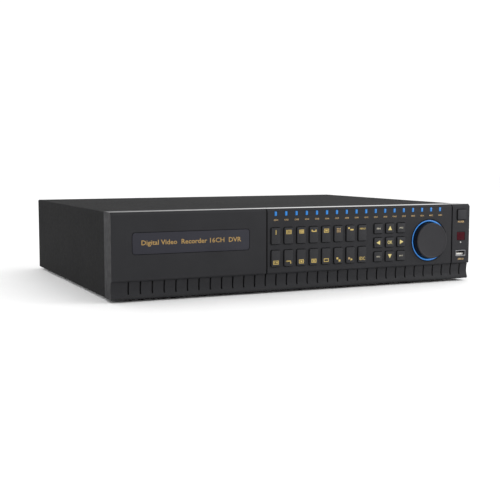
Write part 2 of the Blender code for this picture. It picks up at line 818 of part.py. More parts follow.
def mains_inlet(b):
    """Three-pin appliance inlet with the mains switch above it."""
    rear = REAR_WALL[1] + GAP
    plate = (span(INLET_X, 31), (rear, rear + 2.2), span(INLET_Z + 2, 51))
    body = (span(INLET_X, 27.8), (318, rear + 1), span(INLET_Z + 2, 48))
    module = b.blocks("mains_inlet", [plate], "key_black")
    join(module, b.blocks("body", [body]))
    socket = (span(INLET_X, 24.4), (rear - 14, 350), span(SOCKET_Z, 16.4))
    window = (span(INLET_X, 15.0), (rear - 12, 350), span(ROCKER_Z, 20.6))
    cut(module, b.blocks("socket", [socket]), b.blocks("window", [window]))
    pins = [
        (span(INLET_X + dx, 2), (rear - 15, rear - 1), span(SOCKET_Z + dz, 4))
        for dx, dz in ((-7, -1), (0, 3.4), (7, -1))
    ]
    join(module, b.blocks("pins", pins))

    half, depth = 9.0, 4.0
    pivot = (INLET_X, rear - 2.4, ROCKER_Z)
    profile = [(4.6, half), (2.4, 0), (4.6, -half), (-depth, 1.6 - half), (-depth, half - 1.6)]
    rocker = b.prism("mains_rocker", profile, span(0, 14.2), "x", "key_black")
    rocker.location = Vector(pivot) * MM
    lean = Matrix.Rotation(math.radians(ROCKER_TILT), 4, "X")
    rocker.rotation_euler = (lean @ rocker.rotation_euler.to_matrix().to_4x4()).to_euler()


def main():
    clear_scene()
    b = Builder()
    front_fascia(b)
    end_panel(b)
    badge_plate(b)
    light_guide(b)
    all_keys(b)
    jog_dial(b)
    end_panel_fittings(b)
    control_board(b)
    base_tray(b)
    top_cover(b)
    feet(b)
    main_board(b)
    heat_sink(b)
    power_supply(b)
    drives(b)
    fan(b)
    rear_jacks(b)
    rear_ports(b)
    mains_inlet(b)


main()
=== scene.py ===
"""The desktop video recorder's looks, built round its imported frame.

Lengths are in millimetres from a datum on the front: x from the middle, y back
from the flat front face and z up from the underside of the case.
"""

import json
import math

import bmesh
import bpy
from mathutils import Matrix, Vector


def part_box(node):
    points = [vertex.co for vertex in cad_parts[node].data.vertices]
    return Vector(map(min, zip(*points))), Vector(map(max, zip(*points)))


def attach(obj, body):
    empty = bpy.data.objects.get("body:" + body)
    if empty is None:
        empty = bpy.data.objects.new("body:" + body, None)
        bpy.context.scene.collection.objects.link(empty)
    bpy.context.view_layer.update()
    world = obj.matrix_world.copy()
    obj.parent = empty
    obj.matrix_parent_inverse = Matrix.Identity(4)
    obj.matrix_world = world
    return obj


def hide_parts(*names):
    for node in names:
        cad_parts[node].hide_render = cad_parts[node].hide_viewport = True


MM = 0.001
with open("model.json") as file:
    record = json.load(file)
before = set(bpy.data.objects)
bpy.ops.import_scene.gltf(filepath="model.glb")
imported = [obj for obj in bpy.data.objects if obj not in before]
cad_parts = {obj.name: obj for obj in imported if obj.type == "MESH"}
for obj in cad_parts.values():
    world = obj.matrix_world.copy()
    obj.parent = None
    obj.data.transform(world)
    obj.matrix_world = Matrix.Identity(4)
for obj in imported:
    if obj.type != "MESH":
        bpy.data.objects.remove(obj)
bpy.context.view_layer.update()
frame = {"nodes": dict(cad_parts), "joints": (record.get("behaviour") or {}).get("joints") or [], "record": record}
DATUM = Vector((0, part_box("front_fascia")[0].y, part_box("base_tray")[0].z))
TO_WORLD = Matrix.Translation(DATUM) @ Matrix.Scale(MM, 4)


def span_of(node, axis):
    """Where a CAD node starts and ends along one axis, from the datum."""
    low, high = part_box(node)
    return tuple((corner[axis] - DATUM[axis]) / MM for corner in (low, high))


def middle_of(node, axis):
    return sum(span_of(node, axis)) / 2


def face_of(node):
    """A CAD node's middle and size as seen from the front."""
    size = [span_of(node, axis)[1] - span_of(node, axis)[0] for axis in (0, 2)]
    return middle_of(node, 0), middle_of(node, 2), size


def row_of(first, pitch, count):
    return [first + pitch * number for number in range(count)]


SHARP = 38  # degrees between faces from which an edge is shaded as an edge

LEFT, RIGHT = -220.0, 220.0
HEIGHT = span_of("front_fascia", 2)[1]
FASCIA_BACK = span_of("front_fascia", 1)[1]
POLISH_BACK = 18.0
WALL = 2.5
FRONT_EASE = 0.22
LIGHTS = row_of(-36.9, 12.6, 18)
LIGHT_Z = 83.4
LIGHT_SIZE = (2.4, 4.5)
SLOTS = row_of(-201.6, 12.83, 33)
GROOVE_X, GROOVE_WIDTH = SLOTS[12], 1.5
SEAM_WIDTH = 1.6
BADGE_SIZE = (129.4, 21.8)
END_MIDDLE = middle_of("end_panel", 0)
IR_SIZE = (11.2, 9.4)
USB_FLANGE = (14.6, 7.6)
USB_PITCH = 2.33
DIAL_X, DIAL_Z = middle_of("jog_wheel", 0), middle_of("jog_wheel", 2)
PRINT_LIFT = 0.03  # how far the middle of a print's thickness is off its face
KEY_FLANGE, KEY_GAP = 1.0, 0.5  # what a key has round its cap, and the gap round that cap
KEY_RADIUS = 1.2

REAR = span_of("base_tray", 1)[1]
INSIDE_REAR = REAR - 1.3  # where the blocks behind the rear panel end
JACK_COLUMNS = row_of(-198.0, 18.0, 8)
JACK_ROWS = (60.0, 38.0)

FUNCTION_KEYS = [f"function_key_{number:02d}" for number in range(1, 17)]
PAD_KEYS = ["aux_key_1", "nav_key_up", "aux_key_2", "nav_key_left", "nav_key_ok"]
PAD_KEYS += ["nav_key_right", "aux_key_3", "nav_key_down", "aux_key_4"]


# Materials


class Nodes:
    """A material's node tree, with short calls for the nodes used here."""

    def __init__(self, name):
        self.material = bpy.data.materials.new(name)
        self.material.use_nodes = True
        self.tree = self.material.node_tree
        self.shader = self.tree.nodes["Principled BSDF"]
        self.place = self.tree.nodes.new("ShaderNodeTexCoord").outputs["Object"]

    def link(self, source, target):
        self.tree.links.new(source, target)

    def set(self, **values):
        for name, value in values.items():
            self.shader.inputs[name.replace("_", " ")].default_value = value

    def noise(self, scale, detail=2.0, stretch=(1, 1, 1), roughness=0.5):
        node = self.tree.nodes.new("ShaderNodeTexNoise")
        node.inputs["Scale"].default_value = scale
        node.inputs["Detail"].default_value = detail
        node.inputs["Roughness"].default_value = roughness
        self.link(self.stretched(stretch), node.inputs["Vector"])
        return node.outputs["Fac"]

    def cells(self, scale, output="Color", stretch=(1, 1, 1)):
        node = self.tree.nodes.new("ShaderNodeTexVoronoi")
        node.inputs["Scale"].default_value = scale
        self.link(self.stretched(stretch), node.inputs["Vector"])
        return node.outputs[output]

    def stretched(self, stretch):
        if stretch == (1, 1, 1):
            return self.place
        node = self.tree.nodes.new("ShaderNodeMapping")
        node.inputs["Scale"].default_value = stretch
        self.link(self.place, node.inputs["Vector"])
        return node.outputs["Vector"]

    def ranged(self, source, low, high, start=0.3, end=0.7):
        node = self.tree.nodes.new("ShaderNodeMapRange")
        for name, value in (
            ("From Min", start),
            ("From Max", end),
            ("To Min", low),
            ("To Max", high),
        ):
            node.inputs[name].default_value = value
        self.link(source, node.inputs["Value"])
        return node.outputs["Result"]

    def tone(self, source, dark, light, start=0.3, end=0.7):
        node = self.tree.nodes.new("ShaderNodeValToRGB")
        first, last = node.color_ramp.elements
        first.position, last.position = start, end
        first.color, last.color = (*dark, 1), (*light, 1)
        self.link(source, node.inputs["Fac"])
        self.link(node.outputs["Color"], self.shader.inputs["Base Color"])
        return node.outputs["Color"]

    def rough(self, source, low, high):
        self.link(self.ranged(source, low, high), self.shader.inputs["Roughness"])

    def bump(self, source, depth, strength=1.0, after=None):
        node = self.tree.nodes.new("ShaderNodeBump")
        node.inputs["Distance"].default_value = depth * MM
        node.inputs["Strength"].default_value = strength
        self.link(source, node.inputs["Height"])
        if after is not None:
            self.link(after, node.inputs["Normal"])
        self.link(node.outputs["Normal"], self.shader.inputs["Normal"])
        return node.outputs["Normal"]


def shades(colour, spread):
    return [tuple(c * (1 + side * spread) for c in colour) for side in (-1, 1)]


def moulded(name, colour, rough, spread=0.1, grain=0.02, gloss=0.5):
    """Moulded plastic: clouded tone, spark-eroded grain and uneven sheen."""
    n = Nodes(name)
    n.tone(n.noise(28), *shades(colour, spread))
    n.rough(n.noise(160, 3), rough - 0.06, rough + 0.06)
    fine = n.bump(n.noise(2600, 2), grain)
    n.bump(n.noise(420, 2), grain * 0.8, 0.5, fine)
    n.set(Specular_IOR_Level=gloss)
    return n.material


def polished(name, colour):
    """Buffed plastic, glossier towards the right end."""
    n = Nodes(name)
    n.tone(n.noise(28), *shades(colour, 0.06))
    parts = n.tree.nodes.new("ShaderNodeSeparateXYZ")
    n.link(n.place, parts.inputs["Vector"])
    wear = n.ranged(parts.outputs["X"], 0.46, 0.04, LEFT * MM, 0.02)
    n.link(wear, n.shader.inputs["Roughness"])
    n.bump(n.noise(420, 2), 0.004, 0.5)
    return n.material


def painted(name, colour, rough, gloss):
    """Powder coat: a fine orange peel over flat steel."""
    n = Nodes(name)
    n.tone(n.noise(9, 3), *shades(colour, 0.08))
    n.rough(n.noise(300, 2), rough - 0.06, rough + 0.06)
    fine = n.bump(n.noise(1500, 3, roughness=0.7), 0.03)
    n.bump(n.noise(35, 1), 0.06, 0.4, fine)
    n.set(Specular_IOR_Level=gloss)
    return n.material


def galvanised(name):
    """Zinc-coated sheet with its faint flowered pattern."""
    n = Nodes(name)
    flowers = n.cells(190)
    n.tone(flowers, (0.40, 0.41, 0.42), (0.56, 0.57, 0.58), 0.1, 0.9)
    n.rough(flowers, 0.30, 0.46)
    n.bump(n.noise(1200, 2, (0.2, 1, 1)), 0.01)
    n.set(Metallic=1.0)
    return n.material


def plated(name, colour, rough):
    """Plated or machined metal with fine drawing marks."""
    n = Nodes(name)
    n.tone(n.noise(90, 2), *shades(colour, 0.06))
    n.rough(n.noise(600, 3, (1, 0.15, 1)), rough - 0.07, rough + 0.08)
    n.bump(n.noise(3000, 2, (1, 0.1, 1)), 0.004)
    n.set(Metallic=1.0)
    return n.material


def lit(name, colour, glow, strength):
    """Clear plastic lit from behind, unevenly, with a satin surface."""
    n = Nodes(name)
    cloud = n.noise(220, 2)
    n.link(n.tone(cloud, *shades(glow, 0.12)), n.shader.inputs["Emission Color"])
    n.tone(cloud, *shades(colour, 0.2))
    n.rough(n.noise(500), 0.22, 0.34)
    n.bump(n.noise(1800), 0.01)
    n.set(Emission_Strength=strength)
    return n.material


def filter_red(name):
    """Dark infrared filter: polished, with a slight depth of colour."""
    n = Nodes(name)
    n.tone(n.noise(260, 3), (0.034, 0.0028, 0.0055), (0.046, 0.004, 0.008))
    n.rough(n.noise(700), 0.14, 0.24)
    n.bump(n.noise(300), 0.01, 0.4)
    n.set(Specular_IOR_Level=0.06)
    return n.material


def circuit_board(name):
    """Green solder mask over a maze of tracks."""
    n = Nodes(name)
    tracks = n.cells(330, "Distance", (1, 0.25, 1))
    n.tone(tracks, (0.010, 0.085, 0.030), (0.022, 0.150, 0.060), 0.25, 0.4)
    n.rough(n.noise(400), 0.3, 0.45)
    n.bump(tracks, 0.03, 0.6)
    return n.material


# A plastic's numbers are its colour, its roughness, how much the colour varies, the depth of
# its grain and its gloss. A metal's are its colour and roughness.

PLASTIC = moulded("satin_black_plastic", (0.0255, 0.0255, 0.0275), 0.50, 0.06, 0.016, 0.06)
POLISHED = polished("polished_black_plastic", (0.022, 0.022, 0.024))
PLATE = moulded("name_plate_plastic", (0.0285, 0.0285, 0.0360), 0.45, 0.05, 0.010, 0.10)
KEYCAP = moulded("key_plastic", (0.0245, 0.0245, 0.0265), 0.46, 0.06, 0.012, 0.12)
DIAL_FACE = moulded("dial_plastic", (0.0245, 0.0240, 0.0265), 0.5, 0.05, 0.012, 0.12)
# Near-black for painted shade: the groove, the gaps round the keys, the dial's sides, the recess round the ring,
# holes, slots and the screws' crosses; it is also the rear print.
DARK = moulded("painted_shade_and_print_black", (0.006, 0.006, 0.007), 0.5, 0.1, 0.02, 0.2)
BLACK = moulded("black_connector_plastic", (0.020, 0.020, 0.022), 0.42, 0.12, 0.02)
COAT = painted("black_powder_coat", (0.0185, 0.0185, 0.0190), 0.80, 0.03)
STEEL = galvanised("galvanised_sheet")
NICKEL = plated("nickel_plate", (0.66, 0.65, 0.63), 0.24)
TIN = plated("tinned_steel", (0.19, 0.19, 0.20), 0.34)
GOLD = plated("gold_contacts", (0.83, 0.62, 0.28), 0.25)
ALLOY = plated("bare_aluminium", (0.55, 0.56, 0.57), 0.38)
AMBER = moulded("amber_print", (0.46, 0.33, 0.085), 0.5, 0.12, 0.01)
YELLOW = moulded("yellow_print", (0.55, 0.45, 0.16), 0.5, 0.10, 0.01)
STONE = moulded("stone_print", (0.36, 0.33, 0.25), 0.5, 0.10, 0.01)
BRONZE = moulded("bronze_print", (0.38, 0.25, 0.10), 0.5, 0.15, 0.01)
GOLD_PRINT = moulded("dull_gold_print", (0.32, 0.195, 0.05), 0.5, 0.12, 0.01)
GREY_PRINT = moulded("grey_print", (0.50, 0.50, 0.50), 0.5, 0.08, 0.01)
BLUE_LIGHT = lit("blue_light", (0.006, 0.065, 0.20), (0.004, 0.125, 0.37), 1.0)
BLUE_RING = lit("blue_ring_light", (0.018, 0.080, 0.20), (0.022, 0.150, 0.46), 1.0)
RED_FILTER = filter_red("infrared_filter")
LENS = moulded("clear_lens_plastic", (0.40, 0.40, 0.39), 0.2, 0.05, 0.004)
RUBBER = moulded("soft_rubber", (0.018, 0.018, 0.018), 0.75, 0.15, 0.03, 0.3)
BOARD = circuit_board("green_circuit_board")
GREEN = moulded("green_terminal_plastic", (0.025, 0.24, 0.075), 0.45, 0.08, 0.02)
WHITE = moulded("white_insulator", (0.70, 0.69, 0.65), 0.4, 0.05, 0.01)
BLUE = moulded("blue_insulator", (0.02, 0.06, 0.35), 0.4, 0.08, 0.01)
RED = moulded("red_insulator", (0.45, 0.02, 0.02), 0.4, 0.08, 0.01)


# Shapes


def span(middle, size):
    return (middle - size / 2, middle + size / 2)


def grown(size, by):
    return [side + by for side in size]


def at_depth(outline, y):
    return [(a, y, b) for a, b in outline]


def rounded(x, z, size, radius, steps=5, inset=0.0):
    """Corner points of a round-cornered rectangle, anticlockwise from the front."""
    radius = max(radius - inset, 0.05)
    half = [side / 2 - inset - radius for side in size]
    outline = []
    for sx, sz, start in ((1, 1, 0), (-1, 1, 90), (-1, -1, 180), (1, -1, 270)):
        for step in range(steps + 1):
            angle = math.radians(start + 90 * step / steps)
            across = x + sx * half[0] + radius * math.cos(angle)
            outline.append((across, z + sz * half[1] + radius * math.sin(angle)))
    return outline


def fillet(radius, steps=3):
    """(distance in from the flat, inset) of points round a quarter circle."""
    turns = [math.radians(90 * step / steps) for step in range(steps + 1)]
    return [(radius * (1 - math.sin(t)), radius * (1 - math.cos(t))) for t in turns]


def edges_of(faces):
    """Each edge once, in the same order every run."""
    return list(dict.fromkeys(edge for face in faces for edge in face.edges))


NEAR_AXIS = 0.01  # the smallest radius that a turned shape comes to, for its end caps


class Shape:
    """A mesh under construction, in millimetres from the datum."""

    def __init__(self, *materials):
        self.bm = bmesh.new()
        self.materials = list(materials)

    def index(self, material):
        if material not in self.materials:
            self.materials.append(material)
        return self.materials.index(material)

    def loft(self, rings, material=None, closed=False):
        """Rings of points joined in turn; both ends are filled unless it closes."""
        index = self.index(material) if material else 0
        rows = [[self.bm.verts.new(point) for point in ring] for ring in rings]
        made = []
        pairs = list(zip(rows, rows[1:]))
        if closed:
            pairs.append((rows[-1], rows[0]))
        for low, high in pairs:
            for i in range(len(low)):
                j = (i + 1) % len(low)
                made.append(self.bm.faces.new((low[i], low[j], high[j], high[i])))
        if not closed:
            made += [self.bm.faces.new(rows[0]), self.bm.faces.new(rows[-1])]
        bmesh.ops.recalc_face_normals(self.bm, faces=made)
        for face in made:
            face.material_index = index
        return made

    def prism(self, outline, ends, material=None, along="y"):
        """An outline pulled along one axis, from one end to the other."""
        if along == "x":
            rings = [[(end, a, b) for a, b in outline] for end in ends]
        else:
            rings = [at_depth(outline, end) for end in ends]
        return self.loft(rings, material)

    def pad(self, x, z, size, radius, front, back, edge, material=None):
        """A round-cornered block that faces the front, with a filleted front edge."""
        stations = [(back, 0.0), *((front + d, inset) for d, inset in fillet(edge))]
        rings = [
            at_depth(rounded(x, z, size, radius, inset=inset), y) for y, inset in stations
        ]
        return self.loft(rings, material)

    def block(self, xs, ys, zs, material=None, edge=0.0):
        """A box given as three (low, high) spans, with every edge bevelled that much."""
        corners = [(x, y, z) for x in xs for y in ys for z in zs]
        verts = [self.bm.verts.new(corner) for corner in corners]
        quads = ((0, 1, 3, 2), (4, 6, 7, 5), (0, 4, 5, 1), (2, 3, 7, 6))
        quads += ((0, 2, 6, 4), (1, 5, 7, 3))
        made = [self.bm.faces.new([verts[i] for i in quad]) for quad in quads]
        bmesh.ops.recalc_face_normals(self.bm, faces=made)
        index = self.index(material) if material else 0
        for face in made:
            face.material_index = index
        if edge:
            bmesh.ops.bevel(
                self.bm,
                geom=edges_of(made),
                offset=edge,
                segments=2,
                affect="EDGES",
                profile=0.5,
                material=-1,
            )
        return made

    def turned(self, profile, centre, material=None, segments=48, facing="front"):
        """(radius, height) turned about an axis that points the way it faces."""
        out = {
            "front": lambda r, a, h: (r * math.cos(a), -h, r * math.sin(a)),
            "rear": lambda r, a, h: (r * math.cos(a), h, r * math.sin(a)),
            "up": lambda r, a, h: (r * math.cos(a), r * math.sin(a), h),
        }[facing]
        closed = profile[0] == profile[-1]
        rings = []
        for radius, height in profile[:-1] if closed else profile:
            turns = [2 * math.pi * i / segments for i in range(segments)]
            offsets = [out(max(radius, NEAR_AXIS), turn, height) for turn in turns]
            rings.append([[c + d for c, d in zip(centre, offset)] for offset in offsets])
        return self.loft(rings, material, closed)

    def text(self, words, place, height, material, facing="front", width=None, bold=0.0):
        """Raised print, a fraction of a millimetre thick, centred on its place."""
        curve = bpy.data.curves.new("words", "FONT")
        curve.body = words
        curve.align_x = "CENTER"
        curve.align_y = "CENTER"
        curve.resolution_u = 2
        curve.extrude = 0.01
        curve.offset = bold
        flat = bpy.data.objects.new("words", curve)
        bpy.context.scene.collection.objects.link(flat)
        graph = bpy.context.evaluated_depsgraph_get()
        mesh = bpy.data.meshes.new_from_object(flat.evaluated_get(graph))
        bpy.data.objects.remove(flat)
        points = [vert.co for vert in mesh.vertices]
        low = [min(p[i] for p in points) for i in range(3)]
        high = [max(p[i] for p in points) for i in range(3)]
        middle = Vector([(a + b) / 2 for a, b in zip(low, high)])
        tall = height / (high[1] - low[1])
        wide = width / (high[0] - low[0]) if width else tall
        shrink = Matrix.Diagonal((wide, tall, 0.05 / (high[2] - low[2]), 1))
        turn = Matrix.Rotation(math.radians(90), 4, "X")
        if facing == "rear":
            turn = Matrix.Rotation(math.pi, 4, "Z") @ turn
        mesh.transform(
            Matrix.Translation(place) @ turn @ shrink @ Matrix.Translation(-middle)
        )
        index = self.index(material)
        for face in mesh.polygons:
            face.material_index = index
        self.bm.from_mesh(mesh)
        bpy.data.meshes.remove(mesh)

    def finish(self, name, body=None, stands_for=(), slot=None):
        """The finished object, which rides a body and stands for CAD nodes."""
        mesh = bpy.data.meshes.new(name)
        self.bm.transform(TO_WORLD)
        self.bm.to_mesh(mesh)
        self.bm.free()
        for material in self.materials:
            mesh.materials.append(material)
        smooth(mesh)
        made = bpy.data.objects.new(name, mesh)
        bpy.context.scene.collection.objects.link(made)
        if body:
            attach(made, body)
        if stands_for:
            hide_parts(*stands_for)
        return made


def smooth(mesh):
    for face in mesh.polygons:
        face.use_smooth = True
    mesh.set_sharp_from_angle(angle=math.radians(SHARP))


def carve(target, tools, ease=0.0):
    """Cuts the tools away, eases the sharp edges and keeps the resulting mesh."""
    for tool in tools:
        modifier = target.modifiers.new("cut", "BOOLEAN")
        modifier.object = tool
        modifier.solver = "EXACT"
    if ease:
        bevel = target.modifiers.new("ease", "BEVEL")
        bevel.width = ease * MM
        bevel.segments = 2
        bevel.limit_method = "ANGLE"
        bevel.angle_limit = math.radians(SHARP)
        bevel.use_clamp_overlap = False
        bevel.harden_normals = True
    bpy.context.view_layer.update()
    graph = bpy.context.evaluated_depsgraph_get()
    mesh = bpy.data.meshes.new_from_object(target.evaluated_get(graph))
    target.modifiers.clear()
    target.data = mesh
    for tool in tools:
        bpy.data.objects.remove(tool)
    if not ease:
        smooth(mesh)
    return target


# The front moulding and end panel


def front_outline():
    """Side view of the front, from the top rear round to the bottom rear."""
    top = [(FASCIA_BACK, HEIGHT), (POLISH_BACK, HEIGHT), (2.6, HEIGHT), (0.0, 86.2)]
    lip = [(0.0, 20.4), (0.12, 19.7), (0.5, 19.1), (1.1, 18.7), (1.95, 18.35), (2.6, 17.9)]
    lip += [(3.0, 17.1), (3.25, 15.9), (3.5, 14.3), (3.75, 12.6), (3.9, 11.0), (4.0, 9.2)]
    foot = [(3.97, 8.0), (3.8, 6.8), (3.1, 4.6), (2.2, 2.4), (2.3, 1.2), (3.0, 0.3)]
    return [*top, *lip, *foot, (3.8, 0.0), (FASCIA_BACK, 0.0)]


def inner_outline():
    """Side view of the space inside the front."""
    back = FASCIA_BACK + 1
    face = [(4.6, HEIGHT - WALL), (WALL, 84.0), (WALL, 20.5), (6.5, 14.5), (6.5, WALL)]
    return [(back, HEIGHT - WALL), *face, (back, WALL)]


def key_window(tool, node, radius):
    x, z, flange = face_of(node)
    size = grown(flange, 2 * (KEY_GAP - KEY_FLANGE))
    tool.prism(rounded(x, z, size, radius), (-1, 6))


def front_moulding():
    shape = Shape(PLASTIC)
    shape.prism(front_outline(), (LEFT, RIGHT), along="x")
    body = shape.finish("front_moulding", "recorder", ["front_fascia"], "front_abs")
    hollow = Shape()
    hollow.prism(inner_outline(), (LEFT + WALL, RIGHT - WALL), along="x")
    seam = span_of("end_panel", 0)[0] - SEAM_WIDTH
    corner = Shape()
    corner.block((seam, RIGHT + 5), (-1, 30), (18.1, 100))
    windows = Shape()
    for node in FUNCTION_KEYS + PAD_KEYS:
        key_window(windows, node, 1.5 if node in FUNCTION_KEYS else 1.3)
    for x in LIGHTS:
        windows.prism(rounded(x, LIGHT_Z, grown(LIGHT_SIZE, 0.5), 0.5, 3), (-1, 6))
    x, z = middle_of("badge_plate", 0), middle_of("badge_plate", 2)
    windows.prism(rounded(x, z, grown(BADGE_SIZE, 1.0), 3.4, 6), (-2, 1.5))
    windows.turned([(0, 1), (24.8, 1), (24.8, -6), (0, -6)], (DIAL_X, 0, DIAL_Z), segments=96)
    slots = Shape()
    for x in SLOTS:
        slots.block(span(x, 1.5), (-1, 9), (5.0, 18.0))
    tools = [hollow, corner, windows, slots]
    # The groove is cut deeper where the top edge and the lip slope away from the face.
    for deep, zs in ((1.5, (20.9, 100)), (3.4, (86.9, 100)), (5.6, (17.3, 21.9))):
        groove = Shape()
        groove.block(span(GROOVE_X, GROOVE_WIDTH), (-1, deep), zs)
        tools.append(groove)
    carve(body, [tool.finish("tool") for tool in tools], FRONT_EASE)
    polish_top(body)
    # The groove's inner faces take the near-black: painted shade in the groove.
    for face, centre in add_material(body, DARK):
        in_groove = abs(centre.x - GROOVE_X) < GROOVE_WIDTH / 2 + 0.05 and centre.z > 20
        if in_groove and centre.y > 0.25:
            face.material_index = len(body.data.materials) - 1
    # Near-black blocks behind the seam and behind the slots: painted shade seen through them.
    shade_blocks = Shape(DARK)
    shade_blocks.block(span(seam + 0.6, 6), (3.0, 4.0), (20, 84), edge=0.2)
    shade_blocks.block((LEFT + 3, RIGHT - 3), (7.2, 7.8), (3.0, 19.0), edge=0.2)
    shade_blocks.finish("painted_shade_behind_front", "recorder")


def add_material(body, material):
    """Adds a material, and gives each face with its centre from the datum."""
    body.data.materials.append(material)
    return [(face, (face.center - DATUM) / MM) for face in body.data.polygons]


def polish_top(body):
    """The top face is polished, where the rest of the moulding is satin."""
    for face, centre in add_material(body, POLISHED):
        if face.normal.z > 0.9 and centre.z > HEIGHT - 1 and centre.y < POLISH_BACK:
            face.material_index = len(body.data.materials) - 1


def end_moulding():
    left, _ = span_of("end_panel", 0)
    shape = Shape(PLASTIC)
    shape.prism(front_outline(), (left, RIGHT), along="x")
    body = shape.finish("end_moulding", "recorder", ["end_panel"], "front_abs")
    hollow = Shape()
    hollow.prism(inner_outline(), (left - 5, RIGHT - WALL), along="x")
    under = Shape()
    under.block((left - 5, RIGHT + 5), (-5, 30), (-5, 18.5))
    windows = Shape()
    key_window(windows, "power_button", 1.3)
    for node, size in (("ir_window", IR_SIZE), ("usb_shell", USB_FLANGE)):
        x, z = middle_of(node, 0), middle_of(node, 2)
        windows.prism(rounded(x, z, grown(size, 0.6), 0.9, 4), (-1, 6))
    lens = (END_MIDDLE, 0, middle_of("indicator_lens", 2))
    windows.turned([(0, 1), (1.3, 1), (1.3, -6), (0, -6)], lens, segments=24)
    carve(body, [tool.finish("tool") for tool in (hollow, under, windows)], FRONT_EASE)
    polish_top(body)


# Keys and their printed signs. A bar, a dim bar and a frame are (x, z, width, height) on
# the key's face, an arrow to the side and one up are (x, z, reach), and words are (words,
# width, height). A negative reach points the other way.

SIGN_SCALE = 1.18
STROKE = 0.6
TALL = {
    0: [("bar", 0, 0, 0.7, 4.2)],
    1: [("frame", 0, 0, 5.4, 3.8), ("bar", -1.0, 0, 1.2, 1.4), ("bar", 1.1, 0, 1.0, 1.8)],
    2: [("bar", 0.4, z, 4.4, 0.9) for z in (-1.3, 0, 1.3)] + [("bar", -1.9, 0, 0.9, 3.4)],
    3: [("bar", 0, -0.3, 3.0, 0.9), ("bar", -2.0, 0.4, 1.2, 1.7), ("bar", 2.0, 0.3, 1.1, 2.0)],
    4: [("frame", 0, 0, 5.2, 3.6), ("bar", 0, 0, 2.6, 1.4)],
    5: [("dim", x, z, 0.9, 0.9) for x in (-1.5, 0, 1.5) for z in (-1.5, 0, 1.5)],
    6: [("bar", -1.9, 0.9, 1.7, 1.5), ("bar", 1.3, -0.6, 3.4, 1.3)],
    7: [("text", "MENU", 7.2, 1.9)],
    8: [("frame", 0, 0, 5.6, 3.6), ("bar", -1.2, 0, 1.1, 1.2), ("bar", 1.0, 0, 1.6, 1.2)],
    9: [("bar", 0, 0.9, 4.8, 0.8), ("bar", 2.0, -0.2, 0.8, 2.6), ("arrow", -2.3, 0.9, -1.8)],
    10: [("frame", 0, 0, 5.0, 3.6), ("bar", 0, 0, 2.0, 1.5)],
    11: [("frame", 0, 0, 5.2, 3.6), ("bar", 0, 0.5, 3.0, 0.6), ("bar", 0, -0.5, 3.0, 0.6)],
    12: [("frame", 0, 0, 5.2, 3.2)],
    13: [("bar", -1.2, 1.1, 1.9, 1.9), ("bar", 1.2, -1.0, 1.9, 1.9)],
    14: [("dim", -1.5, 0.6, 1.7, 2.0), ("arrow", 1.3, -0.5, 2.4)],
    15: [("text", "ESC", 7.2, 3.6)],
}
SQUARE = {
    "aux_key_1": [("small", "FN", 4.8, 1.9)],
    "nav_key_up": [("up", 0, 0.2, 4.0)],
    "aux_key_2": [("small", "PTZ", 5.0, 1.7)],
    "nav_key_left": [("arrow", -0.2, 0, -4.0)],
    "nav_key_ok": [("text", "OK", 6.4, 3.9)],
    "nav_key_right": [("arrow", 0.4, 0, 4.0)],
    "aux_key_3": [("small", "SEQ", 4.8, 1.6)],
    "nav_key_down": [("up", 0, 0, -4.0)],
    "aux_key_4": [("small", "SPOT", 5.0, 1.5)],
    "power_button": [],
}


def sign(shape, items, place, ink):
    """Printed marks on a key's face."""
    x, y, z = place

    def patch(points, shade=ink):
        outline = [(x + SIGN_SCALE * a, z + SIGN_SCALE * b) for a, b in points]
        shape.prism(outline, (y - 0.05, y + 0.02), shade)

    def bar(a, b, wide, tall, shade=ink):
        (left, right), (low, high) = span(a, wide), span(b, tall)
        patch([(left, low), (right, low), (right, high), (left, high)], shade)

    for kind, *rest in items:
        if kind == "bar":
            bar(*rest)
        elif kind == "dim":
            bar(*rest, BRONZE)
        elif kind == "frame":
            a, b, wide, tall = rest
            for side in (-1, 1):
                bar(a, b + side * (tall / 2 - STROKE / 2), wide, STROKE)
                bar(a + side * (wide / 2 - STROKE / 2), b, STROKE, tall - 1.3)
        elif kind in ("arrow", "up"):
            a, b, reach = rest
            half, back = abs(reach) * 0.52, reach / 2
            if kind == "arrow":
                patch([(a - back, b - half), (a + back, b), (a - back, b + half)])
            else:
                patch([(a - half, b - back), (a + half, b - back), (a, b + back)])
        else:
            words, wide, tall = rest
            shade, bold = (STONE, 0.03) if kind == "small" else (ink, 0.01)
            shape.text(words, (x, y - PRINT_LIFT, z), tall, shade, width=wide, bold=bold)


def key(node, items, ink, sign_z=0.0):
    """One key: filleted cap, the flange behind it and its stem, with its sign."""
    x, z, flange = face_of(node)
    front, back = span_of(node, 1)
    shape = Shape(KEYCAP, DARK)
    cap = shape.pad(x, z, grown(flange, -2 * KEY_FLANGE), KEY_RADIUS, front, 3.4, 0.45)
    # The cap's side and lower walls take the near-black: painted shade round the cap.
    for face in cap:
        if abs(face.normal.y) < 0.3 and face.normal.z < 0.5:
            face.material_index = shape.index(DARK)
    # The flange behind the cap is near-black too: painted shade in the gap round the cap.
    shape.pad(x, z, flange, KEY_RADIUS, 2.8, 4.2, 0.2, DARK)
    shape.block(span(x, 4), (3.8, back), span(z, 4), edge=0.2)
    sign(shape, items, (x, front, z + sign_z), ink)
    shape.finish(node.replace("_key", "_keycap"), node, [node], "key_plastic")


def keys():
    """The upper row has its signs above the middle and the lower row below."""
    for number, node in enumerate(FUNCTION_KEYS):
        sign_z = -4.3 if number > 7 else 4.0 if number < 6 else 4.8
        key(node, TALL[number], AMBER, sign_z)
    for node, items in SQUARE.items():
        key(node, items, YELLOW)


# Lights, labels and the badge


